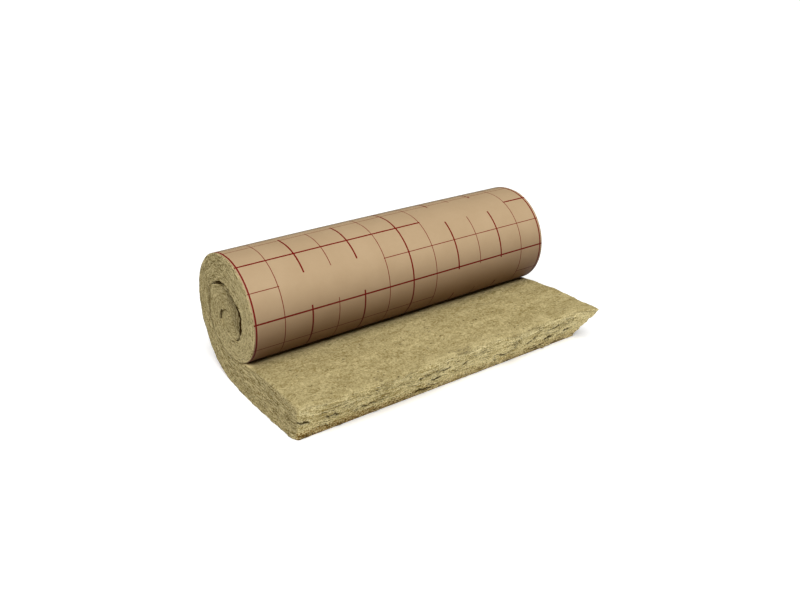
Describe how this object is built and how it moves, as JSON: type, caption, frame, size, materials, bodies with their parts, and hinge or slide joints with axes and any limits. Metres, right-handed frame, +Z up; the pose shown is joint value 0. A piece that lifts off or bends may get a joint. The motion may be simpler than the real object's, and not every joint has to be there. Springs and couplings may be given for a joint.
{
  "type": "insulation roll",
  "caption": "Stone-wool insulation mat with a gridded kraft paper facing, rolled up facing outward, its free end lying flat with the wool upward.",
  "frame": {"origin": "on the floor, at mid-width, under the centre of the roll's front half turns", "axes": "+X along the roll, +Y away from the free end towards the back of the roll, +Z up"},
  "size_m": [1.2, 0.7225, 0.459],
  "materials": {
    "stone_wool": "matte matted fibre",
    "kraft_paper": "satin, printed with a dark red grid"
  },
  "bodies": {
    "root": {"wool_mat": "stone_wool", "kraft_facing": "kraft_paper"}
  },
  "joints": []
}
